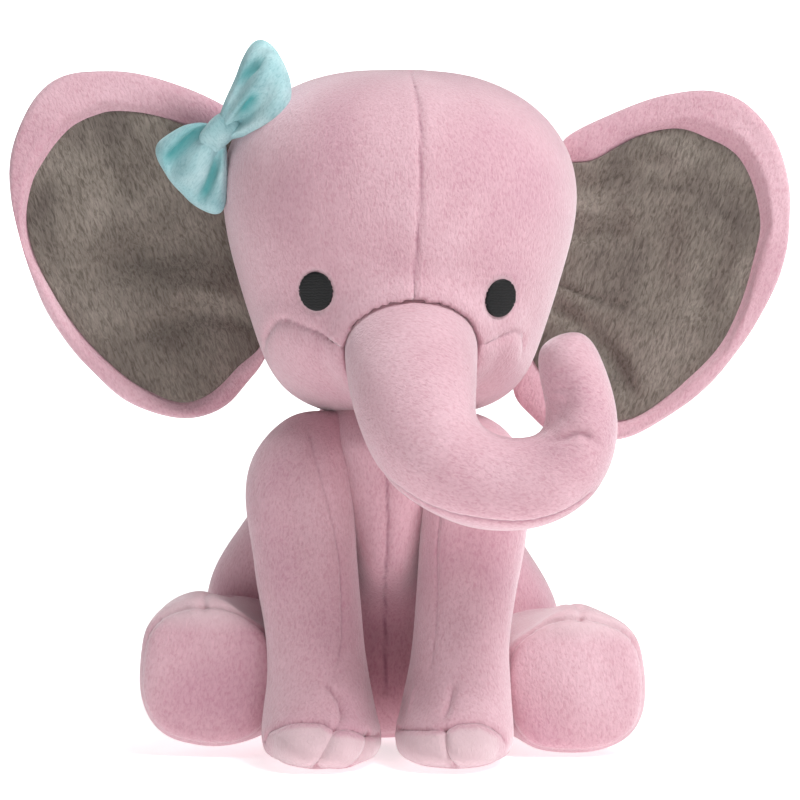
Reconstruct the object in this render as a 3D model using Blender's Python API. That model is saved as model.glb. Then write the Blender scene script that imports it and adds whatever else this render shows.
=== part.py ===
"""Seated stuffed elephant: covers, fillings, ears, trunk, legs, bow and eyes."""

import math

import bmesh
import bpy
from mathutils import Matrix, Vector

# All sizes here are in millimetres; the meshes are made in metres.
mm = 0.001
seamGap = 0.34
coverThick = 1.8
fillGap = 0.5
jointGap = 0.7
depthShift = 3.1

headRing = 24
torsoRing = 24
legRing = 16
trunkRing = 16

# Rows are: x, y, z, half width, half depth.
headRows = [
    (0, -3, 120.6, 1, 1),
    (0, -3, 122, 17, 15),
    (0, -3, 128, 33, 29),
    (0, -3, 138, 45, 40),
    (0, -3, 156, 53, 48),
    (0, -2, 170, 58, 52),
    (0, -2, 185, 63, 55),
    (0, -2, 200, 65.5, 56),
    (0, -2, 215, 64, 54),
    (0, -1, 228, 58, 49),
    (0, -1, 238, 47, 40),
    (0, 0, 245, 31, 27),
    (0, 0, 248.2, 13, 11),
    (0, 0, 248.8, 1, 1),
]
cheekRow = 4
eyeList = [
    ("left", -28.5, 161.5, 6.0, 7.0),
    ("right", 35.5, 160.0, 5.7, 6.9),
]
eyeThick = 1.2

neckPivot = (0, 5, 118)
neckRadius = 30

bodyX = -4
torsoRows = [
    (bodyX, 27, 0.0, 42, 27),
    (bodyX, 27, 4, 52, 34),
    (bodyX, 27, 14, 60, 39),
    (bodyX, 27, 30, 64, 41),
    (bodyX, 27, 48, 63, 41),
    (bodyX, 26, 66, 57, 39),
    (bodyX, 23, 84, 49, 36),
    (bodyX, 17, 102, 40, 32),
    (0, 5, 119, 30, 30),
    (0, 5, 130, 27.5, 27.5),
    (0, 5, 140, 20.4, 20.4),
    (0, 5, 146, 10.8, 10.8),
    (0, 5, 147.9, 1, 1),
]
seatThick = 1.8
beanRows = [
    (bodyX, 35, 2.8, 1, 1),
    (bodyX, 35, 3.2, 31, 14),
    (bodyX, 36, 9, 38, 20),
    (bodyX, 37, 18, 36, 20),
    (bodyX, 38, 23, 26, 14),
    (bodyX, 38, 24, 1, 1),
]

shoulderPivot = (29, -24, 98)
shoulderRadius = 19.5
frontLegRows = [
    (27.5, -29, 76, 18.6, 18.6),
    (25.5, -33.5, 52, 18.6, 19.2),
    (23.8, -38, 30, 18.8, 20),
    (22.8, -42, 18, 20, 24),
    (22.4, -45, 10, 20.8, 27),
    (22.4, -45.5, 4, 20.6, 27),
    (22.4, -45.5, 0.8, 17.6, 24),
    (22.4, -45.5, 0.4, 1, 1),
]
frontSoleRow = 4

hipPivot = (49, 8, 27)
hipRadius = 23.5
hindLegRows = [
    (57, -8, 27.2, 23.2, 23.6),
    (64.5, -21, 27.6, 22.4, 25),
    (67.5, -32, 28, 21.8, 26),
    (67.8, -36.5, 28, 18, 22),
    (67.8, -37.2, 28, 1, 1),
]
hindSoleRow = 2

trunkPivot = (4, -37, 152)
trunkRadius = 23
trunkRows = [
    (4.5, -56, 139, 22.6, 22),
    (5.5, -67, 124, 20.5, 20),
    (12, -73, 108, 18, 18),
    (29, -76, 97, 16.5, 17),
    (47, -77, 98.5, 15, 15.5),
    (59, -77, 108, 12.8, 13),
    (62, -76, 121, 11.6, 12),
    (59, -75, 134, 11.2, 11.5),
    (56.4, -74.5, 141, 9.8, 10),
    (54.8, -74.2, 145, 6, 6),
    (54.3, -74.1, 146, 0.8, 0.8),
]

earTop = (65.8, 2, 222)
earFoot = (62.6, 2, 164)
earBead = 3.4
earLift = {"left": 3.5, "right": -3.5}
# The ear's edge: how far out from the hinge, and how high.
earOutline = [
    (-1.2, 220), (4, 231), (16, 238), (33, 243.5), (49, 243.5), (63, 238.5), (75, 219),
    (78.5, 198), (75, 177), (65, 155), (50, 137.5), (33, 123), (18, 117), (5, 120),
    (-3.5, 131), (-3.5, 148), (-1.2, 168), (-1.2, 200),
]
panelOutline = [
    (7, 216), (11, 221), (20, 226), (33, 231), (47, 232), (57, 229), (67, 215),
    (71.5, 197), (69, 179), (60.5, 160), (47, 143), (32, 130), (20, 125), (10, 128),
    (6, 137), (6.5, 150), (7, 170), (7, 200),
]
earMiddle = (36, 182)

tailPivot = (bodyX, 69, 35)
tailRadius = 6
tailRows = [
    (bodyX, 76, 31, 5.4, 5.4),
    (bodyX, 80, 24, 4.8, 4.8),
    (bodyX, 81.5, 15, 5.2, 5.2),
    (bodyX, 81.5, 8, 4.4, 4.4),
    (bodyX, 81.5, 5, 1, 1),
]

bowKnot = (-65, -17, 224)
knotSize = (5.2, 4.6, 6.4)


def clearScene():
    for thing in list(bpy.data.objects):
        bpy.data.objects.remove(thing, do_unlink=True)


def makeMaterial(name, colour, rough):
    material = bpy.data.materials.new(name)
    material.use_nodes = True
    shader = material.node_tree.nodes["Principled BSDF"]
    shader.inputs["Base Color"].default_value = (*colour, 1)
    shader.inputs["Roughness"].default_value = rough
    return material


clearScene()
pinkPlush = makeMaterial("pink_plush", (0.66, 0.36, 0.43), 0.9)
palePlush = makeMaterial("pale_pink_plush", (0.74, 0.50, 0.55), 0.9)
greyPlush = makeMaterial("grey_plush", (0.24, 0.20, 0.19), 0.95)
aquaCloth = makeMaterial("aqua_cloth", (0.36, 0.64, 0.64), 0.8)
blackThread = makeMaterial("black_thread", (0.012, 0.012, 0.015), 0.5)
fibrefill = makeMaterial("fibrefill", (0.85, 0.84, 0.80), 0.95)
beanCloth = makeMaterial("bean_cloth", (0.78, 0.76, 0.70), 0.9)
labelTape = makeMaterial("label_tape", (0.88, 0.88, 0.86), 0.6)


def addObject(name, bm, material, origin=(0, 0, 0)):
    """Adds the mesh, in millimetres so far, as a named object with its origin on its pivot."""
    bmesh.ops.recalc_face_normals(bm, faces=bm.faces)
    place = Vector(origin)
    for vert in bm.verts:
        vert.co = (vert.co - place) * mm
    mesh = bpy.data.meshes.new(name)
    bm.to_mesh(mesh)
    bm.free()
    for face in mesh.polygons:
        face.use_smooth = True
    thing = bpy.data.objects.new(name, mesh)
    thing.location = (place + Vector((0, depthShift, 0))) * mm
    bpy.context.collection.objects.link(thing)
    mesh.materials.append(material)
    return thing


def mirrorRows(rows, side):
    """Mirrors rows drawn for the +X side about the body's own centre line."""
    flip = 1 if side == "right" else -1
    return [(bodyX + flip * row[0], *row[1:]) for row in rows]


def mirrorPoint(point, side):
    flip = 1 if side == "right" else -1
    return (bodyX + flip * point[0], point[1], point[2])


def ballStart(pivot, radius, toward):
    """Rows of the half ball that a limb turns in, from its far pole to its equator."""
    centre = Vector(pivot)
    line = (Vector(toward[:3]) - centre).normalized()
    rows = []
    for angle in (4, 26, 48, 70, 90):
        back = radius * math.cos(math.radians(angle))
        wide = radius * math.sin(math.radians(angle))
        at = centre - line * back
        rows.append((at.x, at.y, at.z, wide, wide))
    return rows


class Tube:
    """A skin round a row of rings, with a point and a normal at any place on it."""

    def __init__(self, rows, ring, ahead=(0, -1, 0), power=2.0, levelFrom=99, up=1):
        self.rows = [Vector(row[:3]) for row in rows]
        self.half = [(row[3], row[4]) for row in rows]
        self.ring = ring
        self.power = power
        self.ballRows = 5 if power != 2.0 else 0
        self.frames = []
        for index in range(len(rows)):
            low = self.rows[max(index - 1, 0)]
            high = self.rows[min(index + 1, len(rows) - 1)]
            line = (high - low).normalized()
            if index >= levelFrom:
                line = Vector((0, 0, up))
            deep = Vector(ahead)
            deep = (deep - line * deep.dot(line)).normalized()
            self.frames.append((line.cross(deep), deep))

    def onRow(self, index, angle):
        side, deep = self.frames[index]
        wide, thick = self.half[index]
        c, s = math.cos(angle), math.sin(angle)
        power = self.power if index >= self.ballRows else 2.0
        c = math.copysign(abs(c) ** (2 / power), c)
        s = math.copysign(abs(s) ** (2 / power), s)
        return self.rows[index] + side * (wide * c) + deep * (thick * s)

    def point(self, u, angle):
        low = min(int(u), len(self.rows) - 2)
        return self.onRow(low, angle).lerp(self.onRow(low + 1, angle), u - low)

    def normal(self, u, angle):
        last = len(self.rows) - 1
        along = self.point(min(u + 0.5, last), angle) - self.point(max(u - 0.5, 0), angle)
        around = self.point(u, angle + 0.05) - self.point(u, angle - 0.05)
        out = along.cross(around).normalized()
        low = min(int(u), last - 1)
        middle = self.rows[low].lerp(self.rows[low + 1], u - low)
        if u <= 0.01:
            return (self.rows[0] - self.rows[1]).normalized()
        if u >= last - 0.01:
            return (self.rows[last] - self.rows[last - 1]).normalized()
        if out.dot(self.point(u, angle) - middle) < 0:
            out.negate()
        return out

    def inset(self, u, angle, depth):
        return self.point(u, angle) - self.normal(u, angle) * depth

    def ringSize(self, u):
        low = min(int(u), len(self.rows) - 2)
        near, far = min(self.half[low]), min(self.half[low + 1])
        return near + (far - near) * (u - low)


def addGrid(bm, grid, wrap):
    for first, second in zip(grid, grid[1:]):
        count = len(first)
        for j in range(count if wrap else count - 1):
            k = (j + 1) % count
            bm.faces.new((first[j], first[k], second[k], second[j]))


def coverPanel(name, tube, rowSpan, ringSpan, material, origin, thick=coverThick):
    """One panel of a cover: a piece of the tube's skin with a thickness, cut back at its seams."""
    low, high = rowSpan
    last = len(tube.rows) - 1
    places = [float(u) for u in range(low, high + 1)]
    for end, step in ((0, 1), (-1, -1)):
        if 0 < places[end] < last:
            here = tube.rows[int(places[end])]
            there = tube.rows[int(places[end]) + step]
            apart = max((tube.onRow(int(places[end]), 1.5)
                         - tube.onRow(int(places[end]) + step, 1.5)).length,
                        (there - here).length)
            places[end] += step * 0.5 * seamGap / apart
    whole = ringSpan is None
    start, stop = (0, tube.ring - 1) if whole else ringSpan
    bm = bmesh.new()
    outer, inner = [], []
    for u in places:
        shrink = 0.5 * seamGap / tube.ringSize(u)
        shrink = min(shrink, 0.4 * math.tau / tube.ring)
        angles = [math.tau * j / tube.ring for j in range(start, stop + 1)]
        if not whole:
            angles[0] += shrink
            angles[-1] -= shrink
        outer.append([bm.verts.new(tube.point(u, a)) for a in angles])
        inner.append([bm.verts.new(tube.inset(u, a, thick)) for a in angles])
    addGrid(bm, outer, whole)
    addGrid(bm, inner, whole)
    addGrid(bm, [outer[0], inner[0]], whole)
    addGrid(bm, [outer[-1], inner[-1]], whole)
    if not whole:
        addGrid(bm, [[row[0] for row in outer], [row[0] for row in inner]], False)
        addGrid(bm, [[row[-1] for row in outer], [row[-1] for row in inner]], False)
    return addObject(name, bm, material, origin)


def closedTube(name, tube, depth, material, origin, rowSpan=None):
    """The solid inside a tube's skin, set in by the depth, closed at both ends."""
    low, high = rowSpan or (0, len(tube.rows) - 1)
    bm = bmesh.new()
    grid = []
    for u in range(low, high + 1):
        angles = [math.tau * j / tube.ring for j in range(tube.ring)]
        grid.append([bm.verts.new(tube.inset(u, a, depth)) for a in angles])
    addGrid(bm, grid, True)
    bm.faces.new(grid[0])
    bm.faces.new(grid[-1])
    return addObject(name, bm, material, origin)


def capPanel(name, tube, low, material, origin, thick=coverThick):
    """A sole: the closed end of a tube from one row on, as a cup with one thickness."""
    last = len(tube.rows) - 1
    bm = bmesh.new()
    outer, inner = [], []
    for u in range(low, last + 1):
        place = float(u)
        if u == low:
            place += 0.5 * seamGap / (tube.rows[u + 1] - tube.rows[u]).length
        angles = [math.tau * j / tube.ring for j in range(tube.ring)]
        outer.append([bm.verts.new(tube.point(place, a)) for a in angles])
        inner.append([bm.verts.new(tube.inset(place, a, thick)) for a in angles])
    addGrid(bm, outer, True)
    addGrid(bm, inner, True)
    addGrid(bm, [outer[0], inner[0]], True)
    bm.faces.new(outer[-1])
    bm.faces.new(inner[-1])
    return addObject(name, bm, material, origin)


def hiddenBall(name, centre, radius):
    bm = bmesh.new()
    bmesh.ops.create_uvsphere(bm, u_segments=24, v_segments=16, radius=radius,
                              matrix=Matrix.Translation(centre))
    return hideCutter(addObject(name, bm, pinkPlush, centre))


def hiddenRod(name, start, end, radius):
    line = Vector(end) - Vector(start)
    turn = line.to_track_quat("Z", "Y").to_matrix().to_4x4()
    middle = (Vector(start) + Vector(end)) / 2
    bm = bmesh.new()
    bmesh.ops.create_cone(bm, cap_ends=True, segments=16, radius1=radius, radius2=radius,
                          depth=line.length + 8, matrix=Matrix.Translation(middle) @ turn)
    return hideCutter(addObject(name, bm, pinkPlush, middle))


def limbCutters(name, tube, pivot, turns):
    """Cutters in the shape of a limb, one for each angle about X that it must clear."""
    cutters = []
    for count, turn in enumerate(turns):
        cutter = hideCutter(closedTube(f"{name}_{count}", tube, -jointGap - 0.25, pinkPlush, pivot,
                                       (4, len(tube.rows) - 1)))
        cutter.rotation_euler.x = math.radians(turn)
        cutters.append(cutter)
    return cutters


def hideCutter(thing):
    thing.hide_render = True
    thing.display_type = "WIRE"
    return thing


def carve(thing, cutters):
    for cutter in cutters:
        cut = thing.modifiers.new("recess", "BOOLEAN")
        cut.operation = "DIFFERENCE"
        cut.solver = "EXACT"
        cut.use_self = True
        cut.object = cutter


# Head: four cover panels round one filling, with recesses for neck, trunk and ear beads.
head = Tube(headRows, headRing, levelFrom=0)
headTop = len(headRows) - 1
frontSeam, backSeam = headRing // 4, 3 * headRing // 4
neckCut = hiddenBall("neck_cut", neckPivot, neckRadius + jointGap)
trunk = Tube(ballStart(trunkPivot, trunkRadius, trunkRows[0]) + trunkRows, trunkRing)
trunkEnd = len(trunk.rows) - 1
trunkCuts = [hiddenBall("trunk_cut", trunkPivot, trunkRadius + jointGap)]
trunkCuts += limbCutters("trunk_sweep", trunk, trunkPivot, (4, 0, -7, -14))


def earPoint(point, side):
    flip = 1 if side == "right" else -1
    return (flip * point[0], point[1], point[2] + earLift[side])


earCuts = {
    side: hiddenRod(f"ear_cut_{side}", earPoint(earFoot, side), earPoint(earTop, side),
                    earBead + jointGap)
    for side in ("left", "right")
}
headPieces = [
    coverPanel("head_panel_left", head, (cheekRow, headTop), (frontSeam, backSeam),
               pinkPlush, neckPivot),
    coverPanel("head_panel_right", head, (cheekRow, headTop),
               (backSeam, headRing + frontSeam), pinkPlush, neckPivot),
    coverPanel("cheek_panel_left", head, (0, cheekRow), (frontSeam, backSeam),
               pinkPlush, neckPivot),
    coverPanel("cheek_panel_right", head, (0, cheekRow), (backSeam, headRing + frontSeam),
               pinkPlush, neckPivot),
    closedTube("head_stuffing", head, coverThick + fillGap, fibrefill, neckPivot),
]
for piece in headPieces:
    carve(piece, [neckCut, *trunkCuts, earCuts["left"], earCuts["right"]])


def addEye(side, x, z, halfWide, halfHigh):
    """An embroidered eye: a thin oval of thread that follows the head's face."""
    row = next(i for i in range(len(headRows) - 1) if headRows[i + 1][2] > z)
    u0 = row + (z - headRows[row][2]) / (headRows[row + 1][2] - headRows[row][2])
    halfHead = head.half[row][0] + (head.half[row + 1][0] - head.half[row][0]) * (u0 - row)
    a0 = math.acos(x / halfHead)
    perRow = headRows[row + 1][2] - headRows[row][2]
    bm = bmesh.new()
    layers = []
    for lift in (0.3, 0.3 + eyeThick):
        rings = []
        for size in (0.5, 1.0):
            ring = []
            for j in range(20):
                angle = math.tau * j / 20
                u = u0 + size * halfHigh * math.sin(angle) / perRow
                a = a0 - size * halfWide * math.cos(angle) / 48
                ring.append(bm.verts.new(head.point(u, a) + head.normal(u, a) * lift))
            rings.append(ring)
        middle = bm.verts.new(head.point(u0, a0) + head.normal(u0, a0) * lift)
        for j in range(20):
            bm.faces.new((middle, rings[0][j], rings[0][(j + 1) % 20]))
        addGrid(bm, rings, True)
        layers.append(rings[1])
    addGrid(bm, layers, True)
    return addObject(f"eye_{side}", bm, blackThread, neckPivot)


for eye in eyeList:
    addEye(*eye)

# Torso: seat, four side panels, filling and the bean bag that weights the seat.
torso = Tube(torsoRows, torsoRing, levelFrom=0)
torsoTop = len(torsoRows) - 1
frontLegs, hindLegs = {}, {}
for side in ("left", "right"):
    pivot, rows = mirrorPoint(shoulderPivot, side), mirrorRows(frontLegRows, side)
    rows = ballStart(pivot, shoulderRadius, rows[0]) + rows
    frontLegs[side] = Tube(rows, legRing, levelFrom=6, up=-1)
    pivot, rows = mirrorPoint(hipPivot, side), mirrorRows(hindLegRows, side)
    rows = ballStart(pivot, hipRadius, rows[0]) + rows
    hindLegs[side] = Tube(rows, legRing, (0, 0, 1), 2.25)
tailCut = hiddenBall("tail_cut", tailPivot, tailRadius + jointGap)
torsoCuts = {}
for side in ("left", "right"):
    shoulder, hip = mirrorPoint(shoulderPivot, side), mirrorPoint(hipPivot, side)
    torsoCuts[side] = [
        *limbCutters(f"front_leg_sweep_{side}", frontLegs[side], shoulder, (3, 0)),
        *limbCutters(f"hind_leg_sweep_{side}", hindLegs[side], hip, (0,)),
        hiddenBall(f"shoulder_cut_{side}", shoulder, shoulderRadius + jointGap),
        hiddenBall(f"hip_cut_{side}", hip, hipRadius + jointGap),
    ]
sideSeamLeft, sideSeamRight = torsoRing // 2, torsoRing
torsoPieces = [
    coverPanel("chest_panel_left", torso, (0, torsoTop - 1), (frontSeam, sideSeamLeft - 2),
               pinkPlush, (0, 0, 0)),
    coverPanel("back_panel_left", torso, (0, torsoTop - 1), (sideSeamLeft - 2, backSeam),
               pinkPlush, (0, 0, 0)),
    coverPanel("back_panel_right", torso, (0, torsoTop - 1), (backSeam, sideSeamRight + 2),
               pinkPlush, (0, 0, 0)),
    coverPanel("chest_panel_right", torso, (0, torsoTop - 1), (2, frontSeam),
               pinkPlush, (0, 0, 0)),
]
beanTube = Tube(beanRows, torsoRing, levelFrom=0)
beanCut = hideCutter(closedTube("bean_cut", beanTube, -0.6, beanCloth, (0, 0, 0)))
torsoFill = closedTube("torso_stuffing", torso, coverThick + fillGap, fibrefill, (0, 0, 0))
for piece in torsoPieces:
    side = "left" if piece.name.endswith("left") else "right"
    carve(piece, torsoCuts[side] + ([tailCut] if "back" in piece.name else []))
carve(torsoFill, [beanCut, *torsoCuts["left"], *torsoCuts["right"], tailCut])
closedTube("bean_bag", beanTube, 0, beanCloth, (0, 0, 0))

bm = bmesh.new()
seatRings = []
for height, grow in ((0.0, -1.2), (seatThick, -3.2)):
    seatRings.append([
        bm.verts.new((bodyX + (42 + grow) * math.cos(math.tau * j / torsoRing),
                      27 + (27 + grow) * math.sin(math.tau * j / torsoRing), height))
        for j in range(torsoRing)
    ])
    bm.faces.new(seatRings[-1])
addGrid(bm, seatRings, True)
seat = addObject("seat_panel", bm, pinkPlush)

# Front legs: outer and inner panel, sole and filling, each on its shoulder ball.
for side in ("left", "right"):
    pivot = mirrorPoint(shoulderPivot, side)
    leg = frontLegs[side]
    sole = 5 + frontSoleRow
    half = legRing // 2
    front, back = legRing // 4, 3 * legRing // 4
    spans = {"left": (front, back), "right": (back, legRing + front)}
    away = "right" if side == "left" else "left"
    coverPanel(f"front_leg_outer_{side}", leg, (1, sole), spans[away], pinkPlush, pivot)
    coverPanel(f"front_leg_inner_{side}", leg, (1, sole), spans[side], pinkPlush, pivot)
    capPanel(f"front_sole_{side}", leg, sole, palePlush, pivot)
    closedTube(f"front_leg_stuffing_{side}", leg, coverThick + fillGap, fibrefill, pivot)

# Hind legs: outer and inner panel, sole facing forwards, and filling.
for side in ("left", "right"):
    pivot = mirrorPoint(hipPivot, side)
    leg = hindLegs[side]
    sole = 5 + hindSoleRow
    front, back = legRing // 4, 3 * legRing // 4
    spans = {"left": (back, legRing + front), "right": (front, back)}
    away = "right" if side == "left" else "left"
    coverPanel(f"hind_leg_outer_{side}", leg, (1, sole), spans[side], pinkPlush, pivot)
    coverPanel(f"hind_leg_inner_{side}", leg, (1, sole), spans[away], pinkPlush, pivot)
    capPanel(f"hind_sole_{side}", leg, sole, palePlush, pivot)
    closedTube(f"hind_leg_stuffing_{side}", leg, coverThick + fillGap, fibrefill, pivot)

# Trunk: front and back panel with seams along the outer and inner curve, and filling.
coverPanel("trunk_front", trunk, (1, trunkEnd), (0, trunkRing // 2), pinkPlush, trunkPivot)
coverPanel("trunk_back", trunk, (1, trunkEnd), (trunkRing // 2, trunkRing), pinkPlush,
           trunkPivot)
closedTube("trunk_stuffing", trunk, coverThick + fillGap, fibrefill, trunkPivot)


def earPlace(side, out, high, deep):
    """A point of the ear: out from the hinge, up, and back from its middle plane."""
    flip = 1 if side == "right" else -1
    share = (high - earFoot[2]) / (earTop[2] - earFoot[2])
    hinge = earFoot[0] + (earTop[0] - earFoot[0]) * share
    cup = -5.0 * max(out / 78, 0) ** 2
    return Vector((flip * (hinge + out), earFoot[1] + deep + cup, high + earLift[side]))


def earSolid(name, side, layers, material):
    """A closed plate from rings, each a mix of the ear's edge and the panel's edge."""
    origin = earPoint(earFoot, side)
    bm = bmesh.new()
    rings = []
    for mix, size, deep in layers:
        ring = []
        for edge, panel in zip(earOutline, panelOutline):
            at = Vector(edge).lerp(Vector(panel), mix)
            at = Vector(earMiddle).lerp(at, size)
            ring.append(bm.verts.new(earPlace(side, at.x, at.y, deep)))
        rings.append(ring)
    addGrid(bm, rings, True)
    for ring, deep in ((rings[0], layers[0][2]), (rings[-1], layers[-1][2])):
        middle = bm.verts.new(earPlace(side, *earMiddle, deep))
        for j, vert in enumerate(ring):
            bm.faces.new((middle, vert, ring[(j + 1) % len(ring)]))
    return addObject(name, bm, material, origin)


# Ears: pink back with its edge rolled forwards, grey front panel, thin wadding between.
for side in ("left", "right"):
    origin = earPoint(earFoot, side)
    earBack = earSolid(f"ear_back_{side}", side, [
        (0, 0.5, 4.4), (0, 0.86, 4.0), (0, 0.97, 2.4), (0, 1.0, 0.2), (0, 0.98, -2.2),
        (0.75, 1.0, -4.0), (1, 1.0, -3.4), (1, 1.0, 2.2), (1, 0.5, 2.6),
    ], pinkPlush)
    bm = bmesh.new()
    line = Vector(earPoint(earTop, side)) - Vector(origin)
    turn = line.to_track_quat("Z", "Y").to_matrix().to_4x4()
    middle = (Vector(earPoint(earTop, side)) + Vector(origin)) / 2
    bmesh.ops.create_cone(bm, cap_ends=True, segments=12, radius1=earBead, radius2=earBead,
                          depth=line.length, matrix=Matrix.Translation(middle) @ turn)
    bead = hideCutter(addObject(f"ear_bead_{side}", bm, pinkPlush, origin))
    join = earBack.modifiers.new("bead", "BOOLEAN")
    join.operation = "UNION"
    join.solver = "EXACT"
    join.object = bead
    earSolid(f"ear_front_{side}", side, [
        (1, 0.5, -0.6), (1, 0.985, -0.9), (1, 0.985, -3.2), (1, 0.5, -4.0),
    ], greyPlush)
    earSolid(f"ear_wadding_{side}", side, [
        (1, 0.5, 2.2), (1, 0.975, 1.8), (1, 0.975, -0.5), (1, 0.5, -0.2),
    ], fibrefill)

# Tail: a short rolled tail on its own ball.
tail = Tube(ballStart(tailPivot, tailRadius, tailRows[0]) + tailRows, 12)
closedTube("tail", tail, 0, pinkPlush, tailPivot)

# Care label in the seat seam, left blank.
bm = bmesh.new()
bmesh.ops.create_cube(bm, size=1, matrix=Matrix.Translation((24, 72, 19))
                      @ Matrix.Diagonal((0.7, 16, 11, 1)))
addObject("care_label", bm, labelTape)

# Bow: two folded loops and the knot that holds them.
knot = Vector(bowKnot)
bowLoops = [
    ("bow_loop_upper", (15, -9.5, 31), (0.86, -0.36, -0.36), 36, 12.5),
    ("bow_loop_lower", (-13, -5, -27), (0.90, 0.05, -0.42), 33, 14.0),
]
for name, toward, across, length, halfWide in bowLoops:
    out = Vector(toward).normalized()
    wide = Vector(across)
    wide = (wide - out * wide.dot(out)).normalized()
    face = out.cross(wide).normalized()
    bm = bmesh.new()
    outer, inner = [], []
    for step in range(13):
        angle = math.radians(24 + 26 * step)
        along = 0.5 * (1 - math.cos(angle))
        swell = math.sin(angle) * along ** 0.5
        reach = 5.2 + (length - 5.2) * along
        half = 3.2 + (halfWide - 3.2) * min(1.0, 1.25 * along) ** 0.8
        at = knot + out * reach + face * (5.2 * swell + 1.2 * math.copysign(1, 180 - math.degrees(angle)))
        if step == 6:
            at = knot + out * length
        slope = math.radians(24 + 26 * step + 90)
        push = (out * -math.cos(angle) + face * math.sin(angle)).normalized()
        outer.append([bm.verts.new(at + wide * (half * w)) for w in (-1, -0.5, 0, 0.5, 1)])
        inner.append([bm.verts.new(at - push * 1.6 + wide * (half * w))
                      for w in (-1, -0.5, 0, 0.5, 1)])
    for grid in (outer, inner):
        addGrid(bm, grid, False)
    addGrid(bm, [outer[0], inner[0]], False)
    addGrid(bm, [outer[-1], inner[-1]], False)
    addGrid(bm, [[row[0] for row in outer], [row[0] for row in inner]], False)
    addGrid(bm, [[row[-1] for row in outer], [row[-1] for row in inner]], False)
    addObject(name, bm, aquaCloth, knot)

bm = bmesh.new()
bmesh.ops.create_uvsphere(bm, u_segments=14, v_segments=9, radius=1,
                          matrix=Matrix.Translation(knot) @ Matrix.Diagonal((*knotSize, 1)))
addObject("bow_knot", bm, aquaCloth, knot)
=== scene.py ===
import math

import bmesh
import bpy
import numpy as np
from mathutils import Matrix, Vector, kdtree, noise
from mathutils.bvhtree import BVHTree


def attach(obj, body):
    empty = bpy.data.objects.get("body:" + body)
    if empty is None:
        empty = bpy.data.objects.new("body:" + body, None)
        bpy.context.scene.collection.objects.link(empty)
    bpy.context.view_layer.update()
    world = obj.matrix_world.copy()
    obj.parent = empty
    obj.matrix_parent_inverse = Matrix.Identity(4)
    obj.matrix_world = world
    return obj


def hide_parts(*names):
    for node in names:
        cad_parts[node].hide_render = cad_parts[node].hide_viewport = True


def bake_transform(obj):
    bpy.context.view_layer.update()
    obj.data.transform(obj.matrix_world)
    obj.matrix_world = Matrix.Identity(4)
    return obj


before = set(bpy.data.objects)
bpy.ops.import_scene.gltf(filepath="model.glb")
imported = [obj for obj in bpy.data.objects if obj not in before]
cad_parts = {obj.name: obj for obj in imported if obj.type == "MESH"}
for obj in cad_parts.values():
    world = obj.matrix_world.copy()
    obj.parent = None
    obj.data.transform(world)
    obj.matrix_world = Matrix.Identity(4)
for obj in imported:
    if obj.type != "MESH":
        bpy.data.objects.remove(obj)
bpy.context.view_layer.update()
bpy.context.scene.view_settings.view_transform = "Standard"

# Sizes in this file are millimetres, turned to metres when a mesh is finished.
backShift = 3.1  # the toy's middle is this far behind the drawing's zero line
bodyMiddle = -4.0  # the body and legs sit this far to one side of the head
lineStep = 0.6  # between the points of a drawn line
flips = {"left": -1, "right": 1}


def linearColour(hexText):
    channels = [int(hexText[i:i + 2], 16) / 255 for i in (1, 3, 5)]
    return [c / 12.92 if c <= 0.04045 else ((c + 0.055) / 1.055) ** 2.4 for c in channels] + [1.0]


def addNode(tree, kind, settings=None, links=None):
    node = tree.nodes.new(kind)
    for key, value in (settings or {}).items():
        if isinstance(key, int) or key in node.inputs:
            node.inputs[key].default_value = value
        else:
            setattr(node, key, value)
    for key, socket in (links or {}).items():
        tree.links.new(socket, node.inputs[key])
    return node


def setRamp(node, stops):
    ramp = node.color_ramp
    while len(ramp.elements) > 1:
        ramp.elements.remove(ramp.elements[-1])
    ramp.elements[0].position, ramp.elements[0].color = stops[0]
    for position, colour in stops[1:]:
        ramp.elements.new(position).color = colour
    return node


def startMaterial(name, settings):
    material = bpy.data.materials.new(name)
    material.use_nodes = True
    shader = material.node_tree.nodes["Principled BSDF"]
    for key, value in settings.items():
        shader.inputs[key].default_value = value
    return material, material.node_tree, shader


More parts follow.
